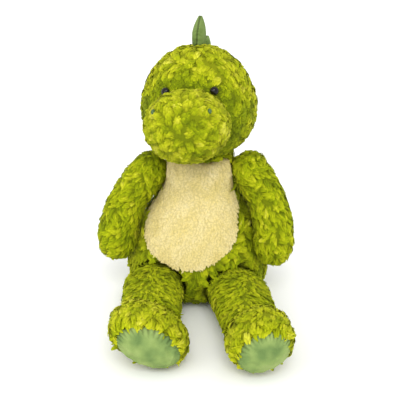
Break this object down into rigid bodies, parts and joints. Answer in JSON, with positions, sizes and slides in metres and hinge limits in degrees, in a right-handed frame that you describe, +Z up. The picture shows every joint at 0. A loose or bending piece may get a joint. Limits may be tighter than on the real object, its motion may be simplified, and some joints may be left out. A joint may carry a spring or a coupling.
{
  "type": "stuffed dinosaur",
  "caption": "Large seated plush dinosaur with curly pile, a cream belly panel, round muzzle, soft back plates, stuffed legs with sole patches, and a turning head and limbs.",
  "frame": {"origin": "middle of the torso's flat seat, on the surface that the toy sits on", "axes": "-Y is the way the toy faces, +X is its own left side, +Z is up"},
  "size_m": [0.5165, 0.8547, 0.7101],
  "materials": {
    "curly_green": "curly lime green pile",
    "cream_plush": "short fluffy cream pile",
    "sage_velboa": "smooth short sage green pile",
    "stuffing": "white polyester fibre",
    "eye_black": "gloss black",
    "washer_nylon": "plain white nylon",
    "thread": "dark green embroidery thread"
  },
  "bodies": {
    "torso": {"torso_skin": "curly_green", "belly_panel": "cream_plush", "torso_fill": "stuffing", "back_spike_1": "sage_velboa", "back_spike_2": "sage_velboa", "back_spike_3": "sage_velboa"},
    "neck": {"neck_fill": "stuffing"},
    "head": {"head_skin": "curly_green", "head_fill": "stuffing", "muzzle_skin": "curly_green", "muzzle_fill": "stuffing", "eye_left": "eye_black", "eye_right": "eye_black", "eye_washer_left": "washer_nylon", "eye_washer_right": "washer_nylon", "nostril_left": "thread", "nostril_right": "thread", "head_spike_1": "sage_velboa", "head_spike_2": "sage_velboa", "head_spike_3": "sage_velboa"},
    "shoulder_left": {"shoulder_left_fill": "stuffing"},
    "arm_left": {"arm_left_skin": "curly_green", "arm_left_fill": "stuffing"},
    "shoulder_right": {"shoulder_right_fill": "stuffing"},
    "arm_right": {"arm_right_skin": "curly_green", "arm_right_fill": "stuffing"},
    "hip_left": {"hip_left_fill": "stuffing"},
    "leg_left": {"leg_left_skin": "curly_green", "leg_left_fill": "stuffing", "foot_left_skin": "curly_green", "foot_left_fill": "stuffing", "sole_left": "sage_velboa"},
    "hip_right": {"hip_right_fill": "stuffing"},
    "leg_right": {"leg_right_skin": "curly_green", "leg_right_fill": "stuffing", "foot_right_skin": "curly_green", "foot_right_fill": "stuffing", "sole_right": "sage_velboa"},
    "tail_root": {"tail_root_fill": "stuffing"},
    "tail": {"tail_skin": "curly_green", "tail_fill": "stuffing", "tail_spike_1": "sage_velboa", "tail_spike_2": "sage_velboa", "tail_spike_3": "sage_velboa"}
  },
  "joints": [
    {"name": "neck_turn", "type": "hinge", "parent": "torso", "child": "neck", "pos_m": [0, 0, 0.362], "axis": [0, 0, 1], "range_deg": [-28, 28], "stiffness_Nm_per_rad": 2},
    {"name": "neck_nod", "type": "hinge", "parent": "neck", "child": "head", "pos_m": [0, 0, 0.362], "axis": [-1, 0, 0], "range_deg": [-6, 12], "stiffness_Nm_per_rad": 12, "springref_deg": 1.15},
    {"name": "arm_left_swing", "type": "hinge", "parent": "torso", "child": "shoulder_left", "pos_m": [0.127, -0.02, 0.336], "axis": [-1, 0, 0], "range_deg": [0, 60]},
    {"name": "arm_left_lift", "type": "hinge", "parent": "shoulder_left", "child": "arm_left", "pos_m": [0.127, -0.02, 0.336], "axis": [0, -1, 0], "range_deg": [0, 50]},
    {"name": "arm_right_swing", "type": "hinge", "parent": "torso", "child": "shoulder_right", "pos_m": [-0.127, -0.02, 0.326], "axis": [-1, 0, 0], "range_deg": [0, 60]},
    {"name": "arm_right_lift", "type": "hinge", "parent": "shoulder_right", "child": "arm_right", "pos_m": [-0.127, -0.02, 0.326], "axis": [0, 1, 0], "range_deg": [0, 50]},
    {"name": "leg_left_splay", "type": "hinge", "parent": "torso", "child": "hip_left", "pos_m": [0.109, -0.146, 0.058], "axis": [0, 0, 1], "range_deg": [-10, 8], "stiffness_Nm_per_rad": 0.6},
    {"name": "leg_left_lift", "type": "hinge", "parent": "hip_left", "child": "leg_left", "pos_m": [0.109, -0.146, 0.058], "axis": [-0.9659, -0.2588, 0], "range_deg": [0, 22]},
    {"name": "leg_right_splay", "type": "hinge", "parent": "torso", "child": "hip_right", "pos_m": [-0.102, -0.146, 0.058], "axis": [0, 0, -1], "range_deg": [0, 20], "stiffness_Nm_per_rad": 0.6},
    {"name": "leg_right_lift", "type": "hinge", "parent": "hip_right", "child": "leg_right", "pos_m": [-0.102, -0.146, 0.058], "axis": [-0.9903, -0.1392, 0], "range_deg": [0, 22]},
    {"name": "tail_wag", "type": "hinge", "parent": "torso", "child": "tail_root", "pos_m": [0.01121, 0.09131, 0.074], "axis": [0, 0, 1], "range_deg": [-20, 20], "stiffness_Nm_per_rad": 0.4},
    {"name": "tail_lift", "type": "hinge", "parent": "tail_root", "child": "tail", "pos_m": [0.01121, 0.09131, 0.074], "axis": [0.9925, -0.1219, 0], "range_deg": [0, 18]}
  ]
}
